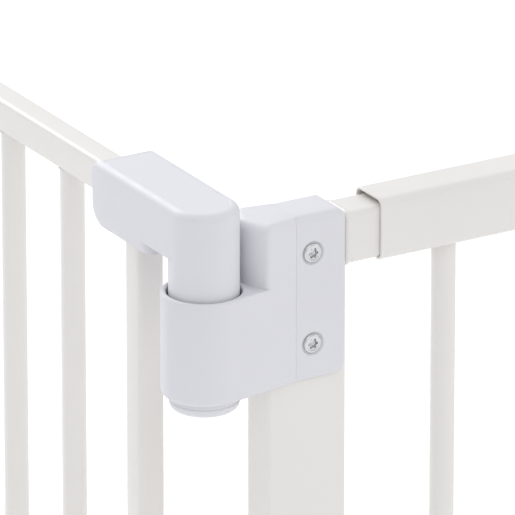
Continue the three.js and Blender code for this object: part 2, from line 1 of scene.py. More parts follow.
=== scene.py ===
# A walk-through safety gate: a painted steel frame, a barred door that swings on two
# moulded hinges, and a side panel that slides on the frame's rails to fill the opening.
from math import acos, atan2, cos, hypot, pi, radians, sin, sqrt

import bmesh
import bpy
from mathutils import Matrix, Vector


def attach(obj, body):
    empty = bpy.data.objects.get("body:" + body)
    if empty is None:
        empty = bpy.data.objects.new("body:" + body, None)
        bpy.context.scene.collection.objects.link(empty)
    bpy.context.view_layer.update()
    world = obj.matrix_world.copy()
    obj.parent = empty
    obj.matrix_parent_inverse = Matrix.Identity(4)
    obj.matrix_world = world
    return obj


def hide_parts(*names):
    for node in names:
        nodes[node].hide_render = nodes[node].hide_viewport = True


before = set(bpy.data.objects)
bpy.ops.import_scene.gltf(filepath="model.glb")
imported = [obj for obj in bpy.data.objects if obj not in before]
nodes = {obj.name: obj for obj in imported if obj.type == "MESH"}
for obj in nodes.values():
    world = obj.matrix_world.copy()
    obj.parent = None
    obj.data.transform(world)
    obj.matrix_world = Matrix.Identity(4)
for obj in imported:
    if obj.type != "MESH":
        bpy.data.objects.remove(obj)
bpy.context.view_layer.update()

# ---------------------------------------------------------------- where things are
# Every piece is drawn in millimetres about the hinge line, with the floor at zero, and
# is then put in its place: the hinge line is 589.2 mm from the latch-side wall, and the
# lower wall plate that the origin lies on is 110 mm above the floor.
MM = 0.001
HINGE_LINE = 589.2
FLOOR = -110.0
UPPER_RIM = 714.0
LOWER_RIM = 72.0
GAP = 0.3                 # between pieces that rest on each other


def spot(x, y, z):
    return Vector(((x + HINGE_LINE) * MM, y * MM, (z + FLOOR) * MM))


# ---------------------------------------------------------------- camera
# A long lens from the front left and a little above, aimed near the upper hinge.
camera_turn = radians(30.48)
camera_rise = radians(21.40)
camera_distance = 4.5
look = Vector((
    sin(camera_turn) * cos(camera_rise), cos(camera_turn) * cos(camera_rise), -sin(camera_rise)))
right = Vector((cos(camera_turn), -sin(camera_turn), 0.0))
up = right.cross(look)
camera = bpy.data.objects.new("camera", bpy.data.cameras.new("camera"))
camera.data.sensor_width = 36.0
camera.data.sensor_fit = "HORIZONTAL"
camera.data.lens = 629.1
camera.data.clip_end = 50.0
camera.rotation_euler = Matrix((right, up, -look)).transposed().to_euler()
aim_right, aim_up = 0.02675, 0.016
camera.location = (
    spot(0, 0, UPPER_RIM) - camera_distance * look + aim_right * right + aim_up * up)
bpy.context.scene.collection.objects.link(camera)
bpy.context.scene.camera = camera

# ---------------------------------------------------------------- floor and light
# A plain white floor, a pale sky that brightens overhead and three soft panels of light.
bpy.context.scene.view_settings.view_transform = "Standard"
world = bpy.data.worlds.new("studio")
bpy.context.scene.world = world
world.use_nodes = True
sky = world.node_tree.nodes["Background"]
sky.inputs["Color"].default_value = (0.97, 0.985, 1.0, 1.0)
horizon_strength, overhead_strength = 0.55, 0.95
direction = world.node_tree.nodes.new("ShaderNodeTexCoord")
height = world.node_tree.nodes.new("ShaderNodeSeparateXYZ")
fade = world.node_tree.nodes.new("ShaderNodeMapRange")
fade.inputs["To Min"].default_value = horizon_strength
fade.inputs["To Max"].default_value = overhead_strength
world.node_tree.links.new(direction.outputs["Generated"], height.inputs["Vector"])
world.node_tree.links.new(height.outputs["Z"], fade.inputs["Value"])
world.node_tree.links.new(fade.outputs["Result"], sky.inputs["Strength"])

floor_finish = bpy.data.materials.new("white_floor")
floor_finish.use_nodes = True
shader = floor_finish.node_tree.nodes["Principled BSDF"]
shader.inputs["Base Color"].default_value = (0.93, 0.93, 0.93, 1.0)
shader.inputs["Roughness"].default_value = 0.7
shader.inputs["Emission Color"].default_value = (1.0, 1.0, 1.0, 1.0)
shader.inputs["Emission Strength"].default_value = 0.1
floor_mesh = bpy.data.meshes.new("floor")
floor_half = 9.0
floor_mesh.from_pydata(
    [(x * floor_half, y * floor_half, FLOOR * MM)
     for x, y in ((-1, -1), (1, -1), (1, 1), (-1, 1))],
    [], [(0, 1, 2, 3)])
floor = bpy.data.objects.new("floor", floor_mesh)
floor.data.materials.append(floor_finish)
bpy.context.scene.collection.objects.link(floor)


def light_panel(name, place, aim, size, power, tint):
    lamp = bpy.data.lights.new(name, "AREA")
    lamp.size = size
    lamp.energy = power
    lamp.color = tint
    panel = bpy.data.objects.new(name, lamp)
    panel.location = place
    panel.rotation_euler = (Vector(aim) - Vector(place)).to_track_quat("-Z", "Y").to_euler()
    bpy.context.scene.collection.objects.link(panel)


gate_middle = (0.6, 0.0, 0.4)
light_panel("key_panel", (-0.4, -2.2, 2.8), gate_middle, 1.6, 8.0, (1.0, 0.99, 0.975))
light_panel("side_panel_light", (2.9, -1.3, 1.4), gate_middle, 1.4, 6.0, (1.0, 0.99, 0.98))
light_panel("back_panel_light", (0.4, 2.9, 2.2), gate_middle, 1.8, 46.0, (0.98, 0.99, 1.0))


# ---------------------------------------------------------------- painted steel posts
# The frame is drawn steel tube, welded and powder coated in white: two upright posts
# joined by a threshold tube on the floor. The coat has a fine orange peel and pools a
# little unevenly in its gloss.
def node_material(name, base, rough, metal, specular):
    material = bpy.data.materials.new(name)
    material.use_nodes = True
    shader = material.node_tree.nodes["Principled BSDF"]
    shader.inputs["Base Color"].default_value = (*base, 1.0)
    shader.inputs["Roughness"].default_value = rough
    shader.inputs["Metallic"].default_value = metal
    shader.inputs["Specular IOR Level"].default_value = specular
    return material, material.node_tree, shader


def noise(tree, scale, detail=2.0, stretch=(1.0, 1.0, 1.0)):
    place = tree.nodes.new("ShaderNodeTexCoord")
    mapping = tree.nodes.new("ShaderNodeMapping")
    mapping.inputs["Scale"].default_value = stretch
    texture = tree.nodes.new("ShaderNodeTexNoise")
    texture.inputs["Scale"].default_value = scale
    texture.inputs["Detail"].default_value = detail
    tree.links.new(place.outputs["Object"], mapping.inputs["Vector"])
    tree.links.new(mapping.outputs["Vector"], texture.inputs["Vector"])
    return texture.outputs["Fac"]


def spread(tree, value, low, high):
    span = tree.nodes.new("ShaderNodeMapRange")
    span.inputs["From Min"].default_value = 0.3
    span.inputs["From Max"].default_value = 0.7
    span.inputs["To Min"].default_value = low
    span.inputs["To Max"].default_value = high
    tree.links.new(value, span.inputs["Value"])
    return span.outputs["Result"]


def tinted(tree, shader, value, low, high):
    ramp = tree.nodes.new("ShaderNodeValToRGB")
    ramp.color_ramp.elements[0].position = 0.3
    ramp.color_ramp.elements[0].color = (*low, 1.0)
    ramp.color_ramp.elements[1].position = 0.7
    ramp.color_ramp.elements[1].color = (*high, 1.0)
    tree.links.new(value, ramp.inputs["Fac"])
    tree.links.new(ramp.outputs["Color"], shader.inputs["Base Color"])


def bumped(tree, shader, value, strength, distance):
    bump = tree.nodes.new("ShaderNodeBump")
    bump.inputs["Strength"].default_value = strength
    bump.inputs["Distance"].default_value = distance
    tree.links.new(value, bump.inputs["Height"])
    tree.links.new(bump.outputs["Normal"], shader.inputs["Normal"])


white_paint, tree, shader = node_material("white_powder_coat", (0.84, 0.815, 0.785), 0.3, 0.0, 0.5)
tinted(tree, shader, noise(tree, 9.0), (0.835, 0.81, 0.778), (0.85, 0.825, 0.797))
tree.links.new(spread(tree, noise(tree, 60.0, 3.0), 0.31, 0.42), shader.inputs["Roughness"])
bumped(tree, shader, noise(tree, 650.0, 1.0), 0.25, 0.00004)
shader.inputs["Coat Weight"].default_value = 0.15
shader.inputs["Coat Roughness"].default_value = 0.2


def arc(centre, radius, start, sweep, steps):
    """Points along an arc, both ends included."""
    turns = [start + sweep * i / steps for i in range(steps + 1)]
    return [(centre[0] + radius * cos(turn), centre[1] + radius * sin(turn)) for turn in turns]


def rounded(a0, b0, a1, b1, corner, steps=6):
    """A rectangle with round corners, anticlockwise."""
    points = []
    for a, b, start in ((a1, b0, -pi / 2), (a1, b1, 0.0), (a0, b1, pi / 2), (a0, b0, pi)):
        ca = a - corner if a == a1 else a + corner
        cb = b - corner if b == b1 else b + corner
        points += arc((ca, cb), corner, start, pi / 2, steps)
    return points


def shrunk(section, inset):
    a0, b0, a1, b1 = section
    return a0 + inset, b0 + inset, a1 - inset, b1 - inset


AXES = {
    "X": lambda a, b, t: (t, a, b),
    "Y": lambda a, b, t: (a, t, b),
    "Z": lambda a, b, t: (a, b, t),
}


def skinned(rings, ends="closed"):
    """A shell through rings of points; a point that two rings share becomes one."""
    bm = bmesh.new()
    loops = []
    for ring in rings:
        loop = []
        for i, point in enumerate(ring):
            before = loops[-1][i] if loops else None
            same = before is not None and (before.co - Vector(point)).length < 1e-5
            loop.append(before if same else bm.verts.new(point))
        loops.append(loop)
    pairs = list(zip(loops, loops[1:]))
    if ends == "joined":
        pairs.append((loops[-1], loops[0]))
    count = len(rings[0])
    for low, high in pairs:
        for i in range(count):
            j = (i + 1) % count
            corners = []
            for vert in (low[i], low[j], high[j], high[i]):
                if vert not in corners:
                    corners.append(vert)
            if len(corners) > 2:
                bm.faces.new(corners)
    if ends == "closed":
        bm.faces.new(loops[0][::-1])
        bm.faces.new(loops[-1])
    bmesh.ops.recalc_face_normals(bm, faces=bm.faces)
    return bm


def smoothed(mesh, sharp=32.0):
    bm = bmesh.new()
    bm.from_mesh(mesh)
    for face in bm.faces:
        face.smooth = True
    for edge in bm.edges:
        edge.smooth = len(edge.link_faces) == 2 and edge.calc_face_angle() < radians(sharp)
    bm.to_mesh(mesh)
    bm.free()


def made(name, bm, material, place=spot):
    """Turn a drawing in millimetres into a piece in its place."""
    for vert in bm.verts:
        vert.co = place(*vert.co)
    bmesh.ops.recalc_face_normals(bm, faces=bm.faces)
    mesh = bpy.data.meshes.new(name)
    bm.to_mesh(mesh)
    bm.free()
    piece = bpy.data.objects.new(name, mesh)
    bpy.context.scene.collection.objects.link(piece)
    if material:
        mesh.materials.append(material)
    smoothed(mesh)
    return piece


def tube(axis, section, start, end, corner, wall):
    """A drawn tube with open, slightly broken ends."""
    edge = 0.25

    def ring(inset, t):
        outline = rounded(*shrunk(section, inset), max(corner - inset, 0.3))
        return [AXES[axis](a, b, t) for a, b in outline]

    return skinned([
        ring(0, start + edge), ring(0, end - edge), ring(edge, end),
        ring(wall, end), ring(wall, start), ring(edge, start)], "joined")


def plain_mesh(piece):
    """Give a piece the mesh that its modifiers make, and drop them."""
    done = piece.evaluated_get(bpy.context.evaluated_depsgraph_get())
    mesh = bpy.data.meshes.new_from_object(done)
    piece.modifiers.clear()
    piece.data = mesh
    return mesh


def carved(piece, cutters, operation="DIFFERENCE", solver="MANIFOLD"):
    """Cut the cutters out of a piece, or join them to it, and keep the plain mesh."""
    for cutter in cutters:
        change = piece.modifiers.new("carve", "BOOLEAN")
        change.operation = operation
        change.object = cutter
        change.solver = solver
    mesh = plain_mesh(piece)
    for cutter in cutters:
        bpy.data.objects.remove(cutter)
    bm = bmesh.new()
    bm.from_mesh(mesh)
    bmesh.ops.remove_doubles(bm, verts=bm.verts, dist=2e-6)
    bm.to_mesh(mesh)
    bm.free()
    smoothed(mesh)
    return piece


def on_body(piece, body, slot, *stands_for):
    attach(piece, body)
    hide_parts(*stands_for)
    return piece


def block(x0, x1, y0, y1, z0, z1, place=spot):
    bm = skinned([
        [(x0, y0, z), (x1, y0, z), (x1, y1, z), (x0, y1, z)] for z in (z0, z1)])
    return made("cutter", bm, None, place)


POST_X = (30.9, 76.8)
LATCH_POST_X = (-585.9, -540.0)
POST_HALF = 10.8
POST_CORNER = 2.2
HINGE_POST_TOP = UPPER_RIM + 30
LATCH_POST_TOP = UPPER_RIM + 44
SILL_TOP = 16.0
SILL_HALF = 20.0
BROAD_CORNER = 3.0        # of the threshold, the fixed rails and the wall post
WALL = 1.5
BOLT_HALF = 5.5
BOLT_Z = (UPPER_RIM + 25, UPPER_RIM + 35)
BOLT_PLAY = 1.5


def post_tube(name, x0, x1, top):
    section = (x0, -POST_HALF, x1, POST_HALF)
    return made(name, tube("Z", section, SILL_TOP + GAP, top, POST_CORNER, WALL), white_paint)


hinge_post = post_tube("hinge_post_tube", *POST_X, HINGE_POST_TOP)
on_body(hinge_post, "frame", "white_paint", "hinge_post")
latch_post = post_tube("latch_post_tube", *LATCH_POST_X, LATCH_POST_TOP)
bolt_reach = BOLT_HALF + BOLT_PLAY
carved(latch_post, [block(
    LATCH_POST_X[1] - 2 * WALL, LATCH_POST_X[1] + 1, -bolt_reach, bolt_reach,
    BOLT_Z[0] - BOLT_PLAY, BOLT_Z[1] + BOLT_PLAY)])
on_body(latch_post, "frame", "white_paint", "latch_post")
sill_section = (-SILL_HALF, 0, SILL_HALF, SILL_TOP)
sill = made("threshold_tube", tube(
    "X", sill_section, LATCH_POST_X[0], POST_X[1], BROAD_CORNER, WALL), white_paint)
on_body(sill, "frame", "white_paint", "threshold_bar")


# ---------------------------------------------------------------- weld seams
# Where one tube is welded to another a low rippled bead runs round the joint, under
# the same white coat. Each bead is a small round swept along the tube's outline.
def weld_seam(name, body, axis, section, corner, level, size=1.1):
    a0, b0, a1, b1 = section
    outline = rounded(a0, b0, a1, b1, corner, 4)
    ripple_length, ripple_depth = 1.4, 0.1
    path = []
    for (pa, pb), (qa, qb) in zip(outline, outline[1:] + outline[:1]):
        span = hypot(qa - pa, qb - pb)
        count = max(1, round(span / ripple_length))
        path += [(pa + (qa - pa) * i / count, pb + (qb - pb) * i / count) for i in range(count)]
    ca, cb = (a0 + a1) / 2, (b0 + b1) / 2
    rings = []
    sides = 8
    for i, (a, b) in enumerate(path):
        before, after = path[i - 1], path[(i + 1) % len(path)]
        na, nb = after[1] - before[1], before[0] - after[0]
        length = hypot(na, nb) or 1.0
        if na * (a - ca) + nb * (b - cb) < 0:
            length = -length
        radius = size * (1 + ripple_depth * (-1) ** i)
        rings.append([
            AXES[axis](a + na / length * radius * cos(turn), b + nb / length * radius * cos(turn),
                       level + radius * sin(turn))
            for turn in (2 * pi * k / sides for k in range(sides))])
    piece = made(name, skinned(rings, "joined"), white_paint)
    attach(piece, body)


for side, (x0, x1) in (("hinge", POST_X), ("latch", LATCH_POST_X)):
    section = (x0, -POST_HALF, x1, POST_HALF)
    weld_seam(f"{side}_post_foot_weld", "frame", "Z", section, POST_CORNER, SILL_TOP + 0.5)

# ---------------------------------------------------------------- fixed rails
# A rail at the top and one at the bottom stand out from the hinge post. They carry the
# side panel, whose larger tubes slide over them.
RAIL_HALF = 11.0
RAIL_X = (POST_X[1] + GAP, 360.0)
TOP_RAIL_Z = (UPPER_RIM + 1.5, UPPER_RIM + 29.5)
LOW_RAIL_Z = (LOWER_RIM - 29.5, LOWER_RIM - 1.5)
for label, (z0, z1) in (("top", TOP_RAIL_Z), ("bottom", LOW_RAIL_Z)):
    section = (-RAIL_HALF, z0, RAIL_HALF, z1)
    rail = made(
        f"fixed_{label}_rail", tube("X", section, *RAIL_X, BROAD_CORNER, WALL), white_paint)
    on_body(rail, "frame", "white_paint", f"inner_{label}_rail")
    weld_seam(
        f"fixed_{label}_rail_weld", "frame", "X", shrunk(section, 0.9), 2.2, RAIL_X[0] + 0.2, 1.6)

# ---------------------------------------------------------------- sliding side panel
# Two sleeves, a post at the wall and three bars are one welded piece. The sleeves'
# mouths are cut square, and a slot in each lets them pass the fixed bars.
SLEEVE_HALF = 12.8
SLEEVE_CORNER = 4.5
THIN_WALL = 1.2
WALL_POST_X = (415.0, 440.0)
SLEEVE_X = (96.0, WALL_POST_X[0] - GAP)
TOP_SLEEVE_Z = (UPPER_RIM, UPPER_RIM + 33.4)
LOW_SLEEVE_Z = (LOWER_RIM - 33.4, LOWER_RIM)
slot_end = 225.05
slot_half = 7.15
for label, (z0, z1), slot_z in (
        ("top", TOP_SLEEVE_Z, TOP_SLEEVE_Z[0]), ("bottom", LOW_SLEEVE_Z, LOW_SLEEVE_Z[1])):
    section = (-SLEEVE_HALF, z0, SLEEVE_HALF, z1)
    sleeve = made(f"{label}_sliding_sleeve", tube(
        "X", section, *SLEEVE_X, SLEEVE_CORNER, THIN_WALL), white_paint)
    carved(sleeve, [block(
        SLEEVE_X[0] - 1, slot_end, -slot_half, slot_half, slot_z - 2, slot_z + 2)])
    on_body(sleeve, "side_panel", "white_paint", f"{label}_sleeve")
    weld_seam(
        f"{label}_sleeve_weld", "side_panel", "X", shrunk(section, 0.8), 3.7, SLEEVE_X[1] - 0.3)
wall_post = made("wall_post_tube", tube(
    "Z", (WALL_POST_X[0], -SLEEVE_HALF, WALL_POST_X[1], SLEEVE_HALF),
    LOW_SLEEVE_Z[0], TOP_SLEEVE_Z[1], BROAD_CORNER, WALL), white_paint)
on_body(wall_post, "side_panel", "white_paint", "wall_post")

# ---------------------------------------------------------------- door frame
# The door is a slimmer rectangle of square tube. Its rails run the whole length, with
# the two uprights welded between them.
DOOR_HALF = 7.5
DOOR_Y = (52.5, 516.7)
UPRIGHT = 15.0
DOOR_CORNER = 2.5
TOP_DOOR_Z = (UPPER_RIM + 21.7, UPPER_RIM + 39.5)
LOW_DOOR_Z = (LOWER_RIM - 39.5, LOWER_RIM - 21.7)
NECK_Y = 468.0
NECK_SLOT = (NECK_Y - 6.4, NECK_Y + 18.4)
NECK_SLOT_HALF = 3.4
NECK_SLOT_Z = (37.0, 47.0)    # above the upper rim


def door_rail(name, z0, z1):
    section = (-DOOR_HALF, z0, DOOR_HALF, z1)
    return made(name, tube("Y", section, *DOOR_Y, DOOR_CORNER, THIN_WALL), white_paint)


top_rail = door_rail("door_top_tube", *TOP_DOOR_Z)
carved(top_rail, [block(
    -NECK_SLOT_HALF, NECK_SLOT_HALF, *NECK_SLOT, *(UPPER_RIM + z for z in NECK_SLOT_Z))])
on_body(top_rail, "door", "white_paint", "door_top_rail")
low_rail = door_rail("door_bottom_tube", *LOW_DOOR_Z)
on_body(low_rail, "door", "white_paint", "door_bottom_rail")
for label, y0 in (("hinge", DOOR_Y[0]), ("latch", DOOR_Y[1] - UPRIGHT)):
    section = (-DOOR_HALF, y0, DOOR_HALF, y0 + UPRIGHT)
    foot, head = LOW_DOOR_Z[1] + GAP, TOP_DOOR_Z[0] - GAP
    upright = made(f"door_{label}_side_tube", tube(
        "Z", section, foot, head, DOOR_CORNER, THIN_WALL), white_paint)
    on_body(upright, "door", "white_paint", f"door_{label}_upright")
    for end, level in (("foot", foot), ("head", head)):
        weld_seam(
            f"door_{label}_side_{end}_weld", "door", "Z", shrunk(section, 0.5), 2.0, level, 0.9)

# ---------------------------------------------------------------- bars
# Round steel bars stand between each pair of rails at one pitch, with a small weld at
# each end. A row is one bar and its two welds, repeated along a line.
BAR_RADIUS = 6.35
BAR_SIDES = 40
PITCH = 62.2


def row_tree(name, inputs):
    """A geometry node tree with these inputs, and what it takes to wire it."""
    tree = bpy.data.node_groups.new(name, "GeometryNodeTree")
    for label, kind in inputs:
        tree.interface.new_socket(label, in_out="INPUT", socket_type=f"NodeSocket{kind}")
    tree.interface.new_socket("Geometry", in_out="OUTPUT", socket_type="NodeSocketGeometry")
    return tree, tree.nodes.new("NodeGroupInput").outputs, tree.links.new


def repeated(tree, points, instance, finish):
    """End a tree with one mesh, in one finish, of the instance at every point."""
    link = tree.links.new
    repeat = tree.nodes.new("GeometryNodeInstanceOnPoints")
    link(points, repeat.inputs["Points"])
    link(instance, repeat.inputs["Instance"])
    whole = tree.nodes.new("GeometryNodeRealizeInstances")
    link(repeat.outputs["Instances"], whole.inputs["Geometry"])
    coat = tree.nodes.new("GeometryNodeSetMaterial")
    link(whole.outputs["Geometry"], coat.inputs["Geometry"])
    link(finish, coat.inputs["Material"])
    out = tree.nodes.new("NodeGroupOutput")
    link(coat.outputs["Geometry"], out.inputs["Geometry"])
    return repeat


bar_row, given, link = row_tree("row_of_bars", (
    ("Count", "Int"), ("First", "Vector"), ("Step", "Vector"), ("Radius", "Float"),
    ("Length", "Float"), ("Weld", "Float"), ("Paint", "Material")))
line = bar_row.nodes.new("GeometryNodeMeshLine")
line.mode = "OFFSET"
link(given["Count"], line.inputs["Count"])
link(given["First"], line.inputs["Start Location"])
link(given["Step"], line.inputs["Offset"])
rod = bar_row.nodes.new("GeometryNodeMeshCylinder")
rod.fill_type = "NONE"
rod.inputs["Vertices"].default_value = BAR_SIDES
link(given["Radius"], rod.inputs["Radius"])
link(given["Length"], rod.inputs["Depth"])
parts = bar_row.nodes.new("GeometryNodeJoinGeometry")
link(rod.outputs["Mesh"], parts.inputs["Geometry"])
hoop = bar_row.nodes.new("GeometryNodeCurvePrimitiveCircle")
hoop.inputs["Resolution"].default_value = BAR_SIDES
link(given["Radius"], hoop.inputs["Radius"])
bead = bar_row.nodes.new("GeometryNodeCurvePrimitiveCircle")
bead.inputs["Resolution"].default_value = 8
link(given["Weld"], bead.inputs["Radius"])
sweep = bar_row.nodes.new("GeometryNodeCurveToMesh")
link(hoop.outputs["Curve"], sweep.inputs["Curve"])
link(bead.outputs["Curve"], sweep.inputs["Profile Curve"])
for half in (0.5, -0.5):
    reach = bar_row.nodes.new("ShaderNodeMath")
    reach.operation = "MULTIPLY"
    reach.inputs[1].default_value = half
    link(given["Length"], reach.inputs[0])
    lift = bar_row.nodes.new("ShaderNodeCombineXYZ")
    link(reach.outputs[0], lift.inputs["Z"])
    put = bar_row.nodes.new("GeometryNodeTransform")
    link(sweep.outputs["Mesh"], put.inputs["Geometry"])
    link(lift.outputs["Vector"], put.inputs["Translation"])
    link(put.outputs["Geometry"], parts.inputs["Geometry"])
repeated(bar_row, line.outputs["Mesh"], parts.outputs["Geometry"], given["Paint"])


def grown(name, tree, values, base=None):
    """The plain mesh that a node tree makes from these values."""
    piece = bpy.data.objects.new(name, base or bpy.data.meshes.new(name))
    bpy.context.scene.collection.objects.link(piece)
    change = piece.modifiers.new("grow", "NODES")
    change.node_group = tree
    for item in tree.interface.items_tree:
        if item.item_type == "SOCKET" and item.in_out == "INPUT" and item.name in values:
            change[item.identifier] = values[item.name]
    smoothed(plain_mesh(piece), 50.0)
    return piece


for name, body, count, first, step, low, high, stands_for in (
        ("fixed_bars", "frame", 2, (140.5, 0), (1, 0), LOW_RAIL_Z[1], TOP_RAIL_Z[0], "inner_bar"),
        ("sliding_bars", "side_panel", 3, (232.5, 0), (1, 0),
         LOW_SLEEVE_Z[1], TOP_SLEEVE_Z[0], "outer_bar"),
        ("door_bars", "door", 6, (0, 134.0), (0, 1), LOW_DOOR_Z[1], TOP_DOOR_Z[0], "door_bar")):
    bars = grown(name, bar_row, {
        "Count": count, "First": spot(*first, (low + high) / 2),
        "Step": (step[0] * PITCH * MM, step[1] * PITCH * MM, 0.0), "Radius": BAR_RADIUS * MM,
        "Length": (high - low - GAP) * MM, "Weld": 0.8 * MM, "Paint": white_paint})
    on_body(bars, body, "white_paint", *[f"{stands_for}_{i + 1}" for i in range(count)])

# ---------------------------------------------------------------- hinge arms
# A moulded arm clips over each end of the door's hinge side. Its round knuckle drops
# into the bracket's socket, and its top edge has a soft round with a fine parting line.
pale_plastic, tree, shader = node_material(
    "pale_moulded_plastic", (0.77, 0.765, 0.8), 0.44, 0.0, 0.45)
tinted(tree, shader, noise(tree, 14.0), (0.757, 0.75, 0.788), (0.772, 0.766, 0.803))
tree.links.new(spread(tree, noise(tree, 110.0, 3.0), 0.4, 0.5), shader.inputs["Roughness"])
bumped(tree, shader, noise(tree, 2300.0, 1.0), 0.2, 0.00002)


def upper(x, y, z):
    return spot(x, y, UPPER_RIM + z)


def lower(x, y, z):
    return spot(x, y, LOWER_RIM - z)


def lathe(profile, sides, axis="Z"):
    """Turn a profile of (radius, height) about an axis; flat faces close its ends."""
    turns = [2 * pi * k / sides for k in range(sides)]
    return skinned([
        [AXES[axis](r * cos(turn), r * sin(turn), h) for turn in turns] for r, h in profile])


KNUCKLE = 18.0
CROWN = 46.0
EDGE_ROUND = 4.5
ARM_END = 82.0
ARM_UNDER = 18.5
SKIRT = 13.4
SKIRT_START = 24.0
END_ROUND = 11.0
CORNER_ROUND = 1.2
FRONT_STEPS = 36
PIN_HOLE = 5.3
CHANNEL_TOP = 39.8


def arm_end(z):
    drop = SKIRT + END_ROUND - z
    if drop <= 0:
        return ARM_END
    return ARM_END - END_ROUND + sqrt(max(END_ROUND ** 2 - drop ** 2, 0))


def between(start, end, count):
    (x0, y0), (x1, y1) = start, end
    return [(x0 + (x1 - x0) * i / (count + 1), y0 + (y1 - y0) * i / (count + 1))
            for i in range(1, count + 1)]


def across(points):
    """The same points on the other side of the middle, in the opposite order."""
    return [(-x, y) for x, y in points[::-1]]


def back_corner(r, end):
    return arc((r - CORNER_ROUND, end - CORNER_ROUND), CORNER_ROUND, 0, pi / 2, 6)


def arm_outline(inset, end):
    r = KNUCKLE - inset
    front = arc((0, 0), r, pi, pi, FRONT_STEPS)
    side = between((r, 0), (r, end - CORNER_ROUND), 6)
    turn = back_corner(r, end)
    back = between(turn[-1], (-turn[-1][0], end), 6)
    return front + side + turn + back + across(turn) + across(side)


def knuckle_outline(r):
    """A circle with as many points as the arm's outline."""
    front = arc((0, 0), r, pi, pi, FRONT_STEPS)
    rest = len(arm_outline(0, ARM_END)) - len(front)
    return front + arc((0, 0), r, 0, pi, rest + 1)[1:-1]


def arm_body():
    rings = [[(x, y, z) for x, y in knuckle_outline(r)]
             for r, z in ((17.0, -50.0), (18.0, -49.0), (18.0, ARM_UNDER))]
    for z in (ARM_UNDER, 20.0, 21.5, 23.0, 24.4, CROWN - EDGE_ROUND):
        rings.append([(x, y, z) for x, y in arm_outline(0, arm_end(z))])
    for i in range(1, 10):
        turn = pi / 2 * i / 9
        inset = EDGE_ROUND * (1 - cos(turn))
        z = CROWN - EDGE_ROUND + EDGE_ROUND * sin(turn)
        rings.append([(x, y, z) for x, y in arm_outline(inset, ARM_END - inset)])
    for inset, depth in ((EDGE_ROUND + 0.28, 0.34), (EDGE_ROUND + 0.6, 0.0)):
        ring = []
        for x, y in arm_outline(inset, ARM_END - inset):
            fade = 1.0 if y > 0 else max(0.0, 1 + y / 14.0) ** 1.5
            ring.append((x, y, CROWN - depth * fade))
        rings.append(ring)
    return skinned(rings)


def skirt_block():
    """The deeper part of the arm that grips the door's tubes."""
    steps = 8
    low_corner, high_corner = 5.5, 9.1
    levels = [
        (SKIRT + (ARM_UNDER - SKIRT) * (i / steps) ** 1.6,
         low_corner + (high_corner - low_corner) * i / steps) for i in range(steps + 1)]
    levels.append((ARM_UNDER + 1.5, high_corner))
    rings = []
    for z, corner in levels:
        nose = arc((KNUCKLE - corner, SKIRT_START + corner), corner, -pi / 2, pi / 2, 10)
        half = nose + back_corner(KNUCKLE, arm_end(z))
        rings.append([(x, y, z) for x, y in half + across(half)])
    return skinned(rings)


def cutter_lathe(profile, sides, seat, axis="Z", shift=(0, 0, 0)):
    bm = lathe(profile, sides, axis)
    for vert in bm.verts:
        vert.co += Vector(shift)
    return made("cutter", bm, None, seat)


ARM_SCREW = (72.0, 30.6)
SCREW_HOLE = [(2.3, 0), (2.3, 8.0), (4.3, 10.5), (4.3, 12)]
CHANNEL_HALF = DOOR_HALF + GAP
for label, seat in (("top", upper), ("bottom", lower)):
    arm = made(f"{label}_arm_moulding", arm_body(), pale_plastic, seat)
    carved(arm, [made("skirt", skirt_block(), None, seat)], "UNION", "EXACT")
    carved(arm, [
        block(-CHANNEL_HALF, CHANNEL_HALF, DOOR_Y[0] - GAP, ARM_END + 1,
              SKIRT - 1, CHANNEL_TOP, seat),
        cutter_lathe([(PIN_HOLE, -51), (PIN_HOLE, 21)], 32, seat),
        cutter_lathe(SCREW_HOLE, 32, seat, "X", (DOOR_HALF, *ARM_SCREW))])
    on_body(arm, "door", "pale_plastic", f"{label}_hinge_arm")

# ---------------------------------------------------------------- hinge brackets
# A bracket is bolted over the hinge post at each end. Its round socket holds the
# knuckle, its sides run off the socket in straight tangents to a seam, and two flat
# cheeks past the seam clamp the post.
SOCKET = 22.0
SOCKET_FOOT = -55.5
SEAM = (45.5, 14.0)
CHEEK = 13.4
BRACKET_END = 74.5
BRACKET_TOP = 33.6
FOOT_CORNER = 8.0
reach = hypot(*SEAM)
tangent = atan2(SEAM[1], SEAM[0]) + acos(SOCKET / reach)
ARC_STEPS = 56
WEB_STEPS = 8
WALL_STEPS = ARC_STEPS + 2 * WEB_STEPS
ridge_x = 29.6
side_slope = (SOCKET * sin(tangent) - SEAM[1]) / (SEAM[0] - SOCKET * cos(tangent))
ridge_y = SEAM[1] + (SEAM[0] - ridge_x) * side_slope


def behind(points):
    """The same points on the other side of the hinge line, in the opposite order."""
    return [(x, -y) for x, y in points[::-1]]


def cheeks(end, inset=0.0):
    """The outline from the ridge back along the far side, round the end, to the near ridge."""
    corner = 1.0
    face = CHEEK - inset
    far = [(SEAM[0] - 0.25, SEAM[1] - inset), (SEAM[0], face - 0.35), (SEAM[0] + 0.35, face)]
    far += between(far[-1], (end - corner, face), 3)
    far += arc((end - corner, face - corner), corner, pi / 2, -pi / 2, 4)
    return far + behind(far)


def bracket_low(z, end, inset, rim=0.0):
    """The outline at and under the rim, round the socket."""
    wall = arc((0, 0), SOCKET - inset - rim, -tangent, -2 * (pi - tangent), ARC_STEPS)
    start = (ridge_x, -ridge_y + inset)
    web = [start] + between(start, wall[0], WEB_STEPS - 1)
    return [(x, y, z) for x, y in web + wall + behind(web) + cheeks(end, inset)]


def bend(start, pull, end, steps):
    """Points along a curve from start almost to end, pulled towards a third point."""
    points = []
    for i in range(steps):
        t = i / steps
        points.append(tuple(
            (1 - t) ** 2 * a + 2 * t * (1 - t) * b + t * t * c
            for a, b, c in zip(start, pull, end)))
    return points


